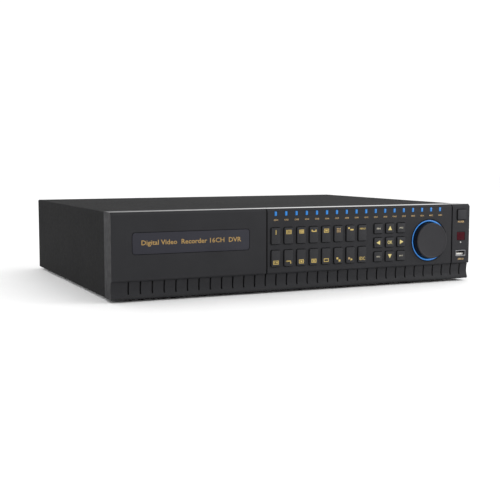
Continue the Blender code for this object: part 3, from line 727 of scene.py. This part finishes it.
def channel_lights():
    """Eighteen lenses, joined by a bar behind the face."""
    shape = Shape(BLUE_LIGHT)
    front, _ = span_of("light_guide", 1)
    for x in LIGHTS:
        shape.pad(x, LIGHT_Z, LIGHT_SIZE, 0.5, front, 4.9, 0.25)
    ends = span_of("light_guide", 0)
    shape.block(ends, (2.9, 5.4), (78.2, 83.6), edge=0.2)
    shape.finish("channel_lights", "recorder", ["light_guide"], "light_pipe")


def labels():
    shape = Shape(BRONZE)
    marks = [*(f"CH{number}" for number in range(1, 17)), "REC", "ON"]
    prints = [(words, x, 76.6, 1.7, 5.0) for words, x in zip(marks, LIGHTS)]
    prints.append(("POWER", END_MIDDLE, 68.0, 2.2, 8.8))
    prints.append(("USB 2.0", END_MIDDLE + 0.5, 23.8, 2.0, 8.2))
    for words, x, z, tall, wide in prints:
        shape.text(words, (x, -PRINT_LIFT, z), tall, BRONZE, width=wide, bold=0.03)
    shape.finish("printed_labels", "recorder")


def badge():
    x, z = middle_of("badge_plate", 0), middle_of("badge_plate", 2)
    front = -0.1
    shape = Shape(PLATE)
    shape.pad(x, z, BADGE_SIZE, 3.0, front, 1.2, 0.2)
    words = "Digital Video  Recorder 16CH  DVR"
    place = (x, front - PRINT_LIFT, z)
    shape.text(words, place, 6.6, GOLD_PRINT, width=110.4, bold=0.012)
    shape.finish("name_plate", "recorder", ["badge_plate"], "front_abs")


# The dial


def dial():
    centre = (DIAL_X, 0, DIAL_Z)
    shape = Shape(DIAL_FACE, DARK)
    proud = -span_of("jog_wheel", 1)[0]
    profile = [(0, proud - 0.25), (18.2, proud - 0.25), (18.5, proud - 0.2), (18.8, proud)]
    profile += [(20.8 - inset, proud - d) for d, inset in reversed(fillet(1.1, 4))]
    profile += [(20.8, -3.5), (18.8, -3.5), (18.8, 3.5), (6.0, 3.5), (6.0, -4.0)]
    profile += [(3.2, -4.0), (3.2, 2.5), (0, 2.5)]
    # The dial's side walls take the near-black: painted shade on its sides.
    for face in shape.turned(profile, centre, DIAL_FACE, 96):
        if abs(face.normal.y) < 0.3:
            face.material_index = shape.index(DARK)
    shape.finish("dial", "jog", ["jog_wheel"], "front_abs")


def light_ring():
    centre = (DIAL_X, 0, DIAL_Z)
    shape = Shape(BLUE_RING, DARK)
    glow = [(22.0, -1.2)]
    for turn in (math.pi * step / 8 for step in range(9)):
        glow.append((22.85 - 0.85 * math.cos(turn), -0.9 + 0.75 * math.sin(turn)))
    glow += [(23.7, -1.2), (23.7, -2.6), (22.0, -2.6), (22.0, -1.2)]
    shape.turned(glow, centre, BLUE_RING, 96)
    # The bezel round the ring is near-black: painted shade in the recess round the dial.
    bezel = [(23.8, -2.8), (23.8, 0.1), (24.0, 0.3), (24.2, 0.3), (24.4, 0.1)]
    bezel += [(24.4, -2.8), (26.4, -2.8), (26.4, -4.4), (22.0, -4.4), (22.0, -2.8), (23.8, -2.8)]
    shape.turned(bezel, centre, DARK, 96)
    shape.finish("light_ring", "recorder", ["jog_light_ring"], "light_pipe")


# Fittings of the end panel


def end_fittings():
    window = Shape(RED_FILTER)
    z = middle_of("ir_window", 2)
    window.pad(END_MIDDLE, z, IR_SIZE, 0.6, -0.1, 3.4, 0.3)
    window.pad(END_MIDDLE, z, grown(IR_SIZE, 2.0), 0.6, 2.8, 4.2, 0.2)
    window.finish("infrared_window", "recorder", ["ir_window"], "ir_filter")
    lens = Shape(LENS)
    dome = [(0, 0.3), (0.4, 0.26), (0.8, 0.12), (1.0, -0.1), (1.0, -6.0), (0, -6.0)]
    lens.turned(dome, (END_MIDDLE, 0, middle_of("indicator_lens", 2)), segments=24)
    lens.finish("indicator", "recorder", ["indicator_lens"], "clear_lens")


def usb_socket():
    """A tube closed at its back, with a flared rim and four springs, and its tongue."""
    x, z = END_MIDDLE, middle_of("usb_shell", 2)
    shape = Shape(TIN)
    outer, inner = (13.1, 5.9), (12.3, 5.1)
    tube = [(outer, 13.6), (outer, -0.1), (inner, -0.1), (inner, 13.0)]
    rim = [((13.2, 6.0), 0.5), (USB_FLANGE, 0.5), (USB_FLANGE, 0.1)]
    rim += [((14.2, 7.2), -0.25), ((12.9, 5.7), -0.3), (inner, -0.05), (inner, 0.5)]
    for rings, radius, closed in ((tube, 0.5, False), (rim, 0.7, True)):
        loops = [at_depth(rounded(x, z, size, radius, 4), y) for size, y in rings]
        shape.loft(loops, TIN, closed)
    for side in (-1, 1):
        for dx in (-2.8, 2.8):
            zs = sorted((z + side * 2.52, z + side * 2.2))
            shape.block(span(x + dx, 1.8), (2.0, 7.0), zs, TIN, 0.1)
    shape.finish("usb_socket", "recorder", ["usb_shell"], "plated_metal")
    tongue = Shape(WHITE, GOLD)
    tongue.block(span(x, 11.0), (2.6, 12.4), (z - 2.3, z - 0.1), WHITE, 0.15)
    tongue.block(span(x, 11.0), (12.0, 12.9), (z - 2.2, z + 2.2), WHITE, 0.1)
    for contact in range(4):
        strip = span(x - 3.5 + USB_PITCH * contact, 1.0)
        tongue.block(strip, (3.4, 12), (z - 0.12, z + 0.02), GOLD)
    tongue.finish("usb_contacts", "recorder", ["usb_tongue"], "white_plastic")


# The case


def cover():
    """Top and sides bent from one sheet, with rounded folds."""
    (left, right), top = span_of("top_cover", 0), span_of("top_cover", 2)[1]
    front, back = span_of("top_cover", 1)
    bend, sheet = 1.6, 1.0

    def fold(x, side, radius):
        turns = [math.radians(90 * step / 4) for step in range(5)]
        return [
            (x - side * (bend - radius * math.cos(t)), top - bend + radius * math.sin(t))
            for t in turns
        ]

    outside = [(left, 0)]
    outside += fold(left, -1, bend)
    outside += fold(right, 1, bend)[::-1]
    outside += [(right, 0)]
    inside = [(right - sheet, 0)]
    inside += fold(right, 1, bend - sheet)
    inside += fold(left, -1, bend - sheet)[::-1]
    inside += [(left + sheet, 0)]
    shape = Shape(COAT)
    shape.prism(outside + inside, (front, back))
    body = shape.finish("cover_shell", "recorder", ["top_cover"], "powder_coat")
    carve(body, [], 0.2)


def screw(shape, x, y, z):
    """A pan-head screw that faces the rear, its cross recess shown as two dark bars of painted shade."""
    radius = 2.9
    head = [(0, 1.5), (radius * 0.5, 1.45), (radius * 0.85, 1.1), (radius, 0.4), (radius, -0.4)]
    shape.turned([*head, (0, -0.4)], (x, y, z), NICKEL, 20, "rear")
    for wide, tall in ((radius * 1.1, 0.7), (0.7, radius * 1.1)):
        shape.block(span(x, wide), (y + 1.0, y + 1.56), span(z, tall), DARK)


def feet():
    for node in ("foot_front_left", "foot_front_right", "foot_rear_left", "foot_rear_right"):
        x, y, low = middle_of(node, 0), middle_of(node, 1), span_of(node, 2)[0]
        profile = [(0, 2.7), (9.6, 2.7), (10.0, 2.5), (10.6, 1.0), (10.4, 0.2), (10.0, 0)]
        profile += [(6.2, 0), (5.8, 0.4), (5.6, 1.2), (0, 1.2)]
        shape = Shape(RUBBER)
        shape.turned(profile, (x, y, low), RUBBER, 40, "up")
        head = [(0, 0.5), (2.2, 0.6), (2.6, 1.0), (2.6, 1.4), (0, 1.4)]
        shape.turned(head, (x, y, low), NICKEL, 20, "up")
        shape.finish(f"rubber_{node}", "recorder", [node], "rubber")


# The rear


def jacks():
    """Sixteen bayonet jacks and eight phono jacks."""
    nut = [(5.9, -2.0), (5.9, 0.9), (5.5, 1.3), (4.8, 1.3)]
    barrel = [(4.8, 1.6), (4.65, 1.7), (4.65, 11.6), (4.4, 12.0)]
    bore = [(3.9, 12.0), (3.6, 11.6), (3.6, 4.0), (0, 4.0), (0, -2.0)]
    insulator = [(0, 3.9), (3.2, 3.9), (3.2, 7.0), (0, 7.0)]
    pin = [(0, 6.9), (0.7, 6.9), (0.7, 10.0), (0.4, 10.4), (0, 10.4)]
    shape = Shape(NICKEL, WHITE, GOLD)
    shape.block((-208, -62), (330, INSIDE_REAR), (10, 70), NICKEL, 0.4)
    for z in JACK_ROWS:
        for x in JACK_COLUMNS:
            place = (x, REAR, z)
            shape.turned([(0, -2.0), *nut, *barrel, *bore], place, NICKEL, 28, "rear")
            shape.turned(insulator, place, WHITE, 20, "rear")
            shape.turned(pin, place, GOLD, 12, "rear")
            for side in (-1, 1):
                lug = sorted((z + side * 4.4, z + side * 5.5))
                shape.block(span(x, 1.8), (REAR + 8.2, REAR + 10.0), lug, NICKEL, 0.2)
    shape.finish("bayonet_jacks", "recorder", ["bnc_block"], "plated_metal")

    collar = [(0, -2), (4.15, -2), (4.15, 1.6), (3.95, 1.8), (3.2, 1.8), (0, 1.8)]
    ring = [(3.1, 1.6), (3.1, 7.7), (2.9, 8.0), (2.6, 8.0), (2.5, 7.7), (2.5, 2.2)]
    core = [(0, 2.1), (2.3, 2.1), (2.3, 6.6), (0.9, 6.6), (0.9, 4.0), (0, 4.0)]
    phono = Shape(BLACK, NICKEL, WHITE, RED)
    phono.block((-54, 5), (330, INSIDE_REAR), (36, 70), BLACK, 0.4)
    for z, colour in ((62.0, WHITE), (46.0, RED)):
        for x in row_of(-46.0, 14.5, 4):
            place = (x, REAR, z)
            phono.turned(collar, place, colour, 28, "rear")
            phono.turned([*ring, (0, 2.2), (0, 1.6)], place, NICKEL, 24, "rear")
            phono.turned(core, place, colour, 20, "rear")
    phono.finish("phono_jacks", "recorder", ["phono_block"], "black_plastic")


def terminal_strip():
    (left, right), (front, back), (low, high) = (span_of("terminal_block", a) for a in range(3))
    shape = Shape(GREEN, DARK, NICKEL)
    shape.block((left, right), (front, REAR + 0.5), (low, high), GREEN, 0.3)
    pitch = (right - left) / 8
    for way in range(8):
        x = left + pitch * (way + 0.5)
        shape.block(span(x, pitch - 0.5), (REAR, back), (low + 0.3, high - 2.0), GREEN, 0.35)
        # Near-black patches stand in for the wire opening and, across the screw head, the screw slot: painted
        # shade.
        shape.block(span(x, 3.4), (back - 0.5, back + 0.02), span(low + 5.0, 4.2), DARK)
        head = [(0, 0.02), (1.9, 0.02), (1.9, -0.6), (0, -0.6)]
        shape.turned(head, (x, back, low + 9.6), NICKEL, 16, "rear")
        shape.block(span(x, 3.0), (back - 0.4, back + 0.04), span(low + 9.6, 0.6), DARK)
    shape.finish("terminal_strip", "recorder", ["terminal_block"], "green_plastic")


def monitor_port():
    x, z = middle_of("vga_port", 0), middle_of("vga_port", 2)

    def trapezium(grow):
        corners = ((-1, 8.4, 1), (-1, 7.0, -1), (1, 7.0, -1), (1, 8.4, 1))
        return [(x + sx * (w + grow), z + sz * (3.9 + grow)) for sx, w, sz in corners]

    def soft(outline):
        """The outline with its corners cut off, so that they read as round."""
        points = []
        for i, (a, b) in enumerate(outline):
            for other in (outline[i - 1], outline[(i + 1) % len(outline)]):
                away = Vector(other) - Vector((a, b))
                points.append(tuple(Vector((a, b)) + away.normalized() * 1.2))
        return points

    shape = Shape(NICKEL, BLUE, DARK)
    shape.block(span(x, 31), (326, INSIDE_REAR), span(z, 12.6), NICKEL, 0.4)
    rings = [(0.0, REAR - 2.0), (0.0, REAR + 5.0), (-0.5, REAR + 5.0), (-0.5, REAR + 1.0)]
    shape.loft([at_depth(soft(trapezium(grow)), y) for grow, y in rings], NICKEL)
    face = REAR + 4.2
    shape.prism(soft(trapezium(-0.9)), (REAR + 0.5, face), BLUE)
    # The pin holes are near-black discs: painted shade in the holes.
    hole = [(0, 0.02), (0.45, 0.02), (0.45, -0.2), (0, -0.2)]
    for row in (-1, 0, 1):
        for column in (-2, -1, 0, 1, 2):
            place = (x + column * 2.3 + row * 0.7, face, z + row * 2.0)
            shape.turned(hole, place, DARK, 10, "rear")
    for side in (-1, 1):
        post = [(0, -2.0), (2.2, -2.0), (2.2, 4.2), (1.9, 4.5), (1.2, 4.5), (1.1, 1.5), (0, 1.5)]
        shape.turned(post, (x + side * 12.5, REAR, z), NICKEL, 6, "rear")
    shape.finish("monitor_port", "recorder", ["vga_port"], "plated_metal")


def network_port():
    """A network socket over two USB sockets, in one metal can."""
    x = middle_of("lan_usb_port", 0)
    (low, high), back = span_of("lan_usb_port", 2), span_of("lan_usb_port", 1)[1]
    can = Shape(NICKEL)
    can.block(span(x, 17.0), (322, back), (low, high), NICKEL)
    made = can.finish("network_port", "recorder", ["lan_usb_port"], "plated_metal")
    openings = Shape()
    for wide, zs in ((12.0, (27, 35.4)), (12.6, (11.6, 16.8)), (12.6, (18.6, 23.8))):
        openings.block(span(x, wide), (328, 350), zs)
    carve(made, [openings.finish("tool")], 0.2)
    inside = Shape(NICKEL, BLACK, GOLD, WHITE)
    inside.block(span(x, 11.6), (328.2, 329.2), (27.2, 35.2), BLACK)
    for contact in row_of(x - 3.57, 1.02, 8):
        inside.block(span(contact, 0.4), (329, 339.5), (34.2, 34.5), GOLD)
    for z in (15.4, 22.4):
        inside.block(span(x, 11.0), (328.2, 340), (z - 0.8, z + 0.8), WHITE, 0.1)
        for contact in row_of(x - 3.5, USB_PITCH, 4):
            inside.block(span(contact, 1.0), (330, 339.6), (z - 0.88, z - 0.7), GOLD)
    inside.finish("port_contacts", "recorder")


def mains():
    """The inlet and the switch's window, in one moulding behind a flange."""
    x = middle_of("mains_inlet", 0)
    back = span_of("mains_inlet", 1)[1]
    shape = Shape(BLACK)
    case, flange, under = (27.8, 48), (31, 51), back - 2.2
    stations = [(318, case, 1.5, 0.0), (under, case, 1.5, 0.0), (under, flange, 2.2, 0.0)]
    stations += [(back - d, flange, 2.2, inset) for d, inset in fillet(0.6)]
    shape.loft(
        [
            at_depth(rounded(x, 47.0, size, radius, inset=inset), y)
            for y, size, radius, inset in stations
        ]
    )
    made = shape.finish("mains_module", "recorder", ["mains_inlet"], "black_plastic")
    recess = Shape()
    (left, right), (low, high), cut = span(x, 24.4), (28.8, 45.2), 4.5
    outline = [(left, low + cut), (left + cut, low), (right - cut, low)]
    outline += [(right, low + cut), (right, high), (left, high)]
    recess.prism(outline, (back - 16.2, 350))
    window = Shape()
    window.prism(rounded(x, 61.5, (15.0, 20.6), 0.8), (back - 14.2, 350))
    carve(made, [recess.finish("tool"), window.finish("tool")], 0.3)
    pins = Shape(NICKEL)
    for dx, dz in ((-7, -1), (0, 3.4), (7, -1)):
        zs = span(37.0 + dz, 4)
        pins.block(span(x + dx, 2), (back - 17, back - 3.2), zs, NICKEL, 0.35)
    pins.finish("mains_pins", "recorder")


def rocker():
    """The mains switch, tipped to one side, with a bar and a ring printed on it."""
    hinge = next(j for j in frame["joints"] if j["name"] == "mains_switch_rock")
    pivot = [(p - d) / MM for p, d in zip(hinge["pos_m"], DATUM)]
    face = [(4.6, 9.0), (3.6, 4.4), (3.1, 0.0), (3.6, -4.4), (4.6, -9.0)]
    outline = [*face, (-4.0, -7.4), (-4.0, 7.4)]
    shape = Shape(BLACK, GREY_PRINT)
    faces = shape.prism(outline, span(0, 14.2), along="x")
    edges = [edge for edge in edges_of(faces) if edge.calc_face_angle(0) > 0.6]
    bmesh.ops.bevel(shape.bm, geom=edges, offset=0.35, segments=2, affect="EDGES", profile=0.5)
    shape.block(span(0, 0.8), (3.9, 4.12), (4.2, 7.2), GREY_PRINT)
    ring = [(1.5, -0.1), (1.5, 0.12), (1.0, 0.12), (1.0, -0.1), (1.5, -0.1)]
    shape.turned(ring, (0, 3.95, -5.6), GREY_PRINT, 24, "rear")
    tilt = Matrix.Rotation(math.radians(9.0), 4, "X")
    shape.bm.transform(Matrix.Translation(pivot) @ tilt)
    shape.finish("mains_switch_cap", "mains_switch", ["mains_rocker"], "black_plastic")


BLADE = ((-7.5, 0.3), (-3.5, 0.8), (3.5, 0.8), (7.5, 0.3), (3.5, -0.8), (-3.5, -0.8))


def fan():
    """The rotor with its seven blades, and the wire guard outside the rear panel."""
    centre = [middle_of("fan_frame", axis) for axis in range(3)]
    x, _, z = centre
    rotor = Shape(BLACK)
    hub = [(0, 7.9), (12.6, 7.9), (13.0, 7.5), (13.0, -10.1), (12.6, -10.5), (0, -10.5)]
    rotor.turned(hub, centre, BLACK, 48, "rear")
    root, half_chord = 12.6, 7.5
    for start in (2 * math.pi * blade / 7 for blade in range(7)):
        rows = []
        for reach in (root, 16.5, 20.5, 24.0, 27.2):
            lean = math.radians(44 - 0.7 * (reach - root))
            sweep = start + 0.012 * (reach - root)
            row = []
            for along, thick in BLADE:
                lift = thick * 0.6 + 0.9 * (1 - (along / half_chord) ** 2)
                aside = along * math.sin(lean) + lift * math.cos(lean)
                deep = -along * math.cos(lean) + lift * math.sin(lean)
                angle = sweep + aside / reach
                place = (reach * math.cos(angle), deep - 1.0, reach * math.sin(angle))
                row.append([c + d for c, d in zip(centre, place)])
            rows.append(row)
        rotor.loft(rows, BLACK)
    rotor.finish("fan_impeller", "fan", ["fan_rotor"], "black_plastic")
    guard = Shape(NICKEL)
    wire, on_panel = 0.7, (REAR + 0.2, REAR + 1.0)
    turns = [math.pi * step / 4 for step in range(8)]
    for radius in (9.4, 15.6, 21.8, 28.0):
        ring = [(radius + wire * math.cos(t), 1.0 + wire * math.sin(t)) for t in turns]
        guard.turned([*ring, ring[0]], (x, REAR, z), NICKEL, 56, "rear")
    for side in (-1, 1):
        guard.block(span(x, 56), on_panel, span(z + side * 2.2, 1.2), NICKEL, 0.2)
    strut = [(19.9, 19.1), (19.1, 19.9), (22.9, 23.7), (23.7, 22.9)]
    for sx in (-1, 1):
        for sz in (-1, 1):
            screw(guard, x + sx * 25.0, REAR + 0.4, z + sz * 25.0)
            guard.prism([(x + sx * a, z + sz * b) for a, b in strut], on_panel, NICKEL)
    guard.finish("fan_guard", "recorder")


def rear_marks():
    marks = [
        (str(column + 1 + len(JACK_COLUMNS) * row), x, z, 2.6)
        for column, x in enumerate(JACK_COLUMNS)
        for row, z in enumerate((70.5, 48.9))
    ]
    marks += [
        ("VIDEO IN", -135, 76.5, 3.0),
        ("AUDIO IN", -24.2, 73.5, 2.6),
        ("AUDIO OUT", -24.2, 37.0, 2.6),
        ("MONITOR", middle_of("vga_port", 0), 32.5, 2.4),
        ("LAN", middle_of("lan_usb_port", 0), 40.5, 2.4),
        ("USB", middle_of("lan_usb_port", 0), 7.5, 2.4),
        ("ALARM  IN / OUT", middle_of("terminal_block", 0), 30.0, 2.6),
        ("AC IN", middle_of("mains_inlet", 0), 77.5, 3.0),
    ]
    shape = Shape(DARK)
    for words, x, z, tall in marks:
        shape.text(words, (x, REAR + PRINT_LIFT, z), tall, DARK, "rear", bold=0.02)
    shape.finish("rear_numbers", "recorder")


def case_screws():
    shape = Shape(NICKEL, DARK)
    for x, z in ((-210, 82), (0, 82), (210, 82), (-210, 8), (210, 8), (64, 8)):
        screw(shape, x, REAR + 0.3, z)
    shape.finish("rear_screws", "recorder")
    below = Shape(NICKEL, DARK)
    head = [(0, 0.9), (1.4, 0.85), (2.5, 0.5), (2.8, 0), (2.8, -0.4), (0, -0.4)]
    for x in (-192, -60, 60, 192):
        for y in (70, 190, 318):
            below.turned(head, (x, y, 0), NICKEL, 20, "up")
    below.bm.transform(Matrix.Scale(-1, 4, (0, 0, 1)))
    bmesh.ops.recalc_face_normals(below.bm, faces=below.bm.faces[:])
    below.finish("base_screws", "recorder")


def finish_cad_nodes():
    """Better materials for the CAD nodes that stay."""
    by_slot = {
        "steel_sheet": STEEL,
        "plated_metal": NICKEL,
        "black_plastic": BLACK,
        "board": BOARD,
        "cast_aluminium": ALLOY,
    }
    for entry in frame["record"]["subparts"]:
        node = frame["nodes"][entry["node"]]
        if node.hide_render:
            continue
        node.data.materials.clear()
        node.data.materials.append(by_slot[entry["material_slot"]])


# The studio


def studio():
    """A white room with a pale floor and four soft lights."""
    floor = bpy.data.meshes.new("floor")
    reach = 6.0
    corners = [(sx * reach, sy * reach, 0) for sx, sy in ((-1, -1), (1, -1), (1, 1), (-1, 1))]
    floor.from_pydata(corners, [], [(0, 1, 2, 3)])
    ground = bpy.data.objects.new("floor", floor)
    bpy.context.scene.collection.objects.link(ground)
    n = Nodes("pale_floor")
    n.tone(n.noise(6), (0.91, 0.91, 0.91), (0.94, 0.94, 0.94))
    n.rough(n.noise(20), 0.7, 0.8)
    n.set(Specular_IOR_Level=0.2)
    floor.materials.append(n.material)

    world = bpy.data.worlds.new("studio")
    world.use_nodes = True
    sky = world.node_tree.nodes["Background"]
    sky.inputs["Color"].default_value = (1, 1, 1, 1)
    sky.inputs["Strength"].default_value = 1.1
    bpy.context.scene.world = world
    bpy.context.scene.view_settings.view_transform = "Standard"
    for name, place, size, power in (
        ("key_light", (1.1, -1.3, 1.3), 1.2, 5),
        ("side_light", (0.55, -0.50, 0.28), 0.3, 1.3),
        ("fill_light", (-1.6, -0.8, 1.2), 1.4, 1),
        ("back_light", (0.2, 1.8, 1.6), 2.0, 6),
    ):
        data = bpy.data.lights.new(name, "AREA")
        data.size = size
        data.energy = power
        lamp = bpy.data.objects.new(name, data)
        lamp.location = place
        lamp.rotation_euler = (-Vector(place)).to_track_quat("-Z", "Y").to_euler()
        bpy.context.scene.collection.objects.link(lamp)


def camera():
    """A long lens, to the left of the front and a little above it."""
    data = bpy.data.cameras.new("camera")
    data.sensor_width = 36.0
    data.lens = 67.30
    data.clip_start = 0.01
    made = bpy.data.objects.new("camera", data)
    yaw, pitch = math.radians(24.7245), math.radians(5.5488)
    level = Vector((math.sin(yaw), math.cos(yaw), 0)) * math.cos(pitch)
    ahead = level - Vector((0, 0, math.sin(pitch)))
    made.location = TO_WORLD @ Vector((-481.93, -899.82, 141.69))
    made.rotation_euler = ahead.to_track_quat("-Z", "Y").to_euler()
    bpy.context.scene.collection.objects.link(made)
    bpy.context.scene.camera = made


front_moulding()
end_moulding()
keys()
channel_lights()
labels()
badge()
dial()
light_ring()
end_fittings()
usb_socket()
cover()
feet()
jacks()
terminal_strip()
monitor_port()
network_port()
mains()
rocker()
fan()
rear_marks()
case_screws()
finish_cad_nodes()
studio()
camera()
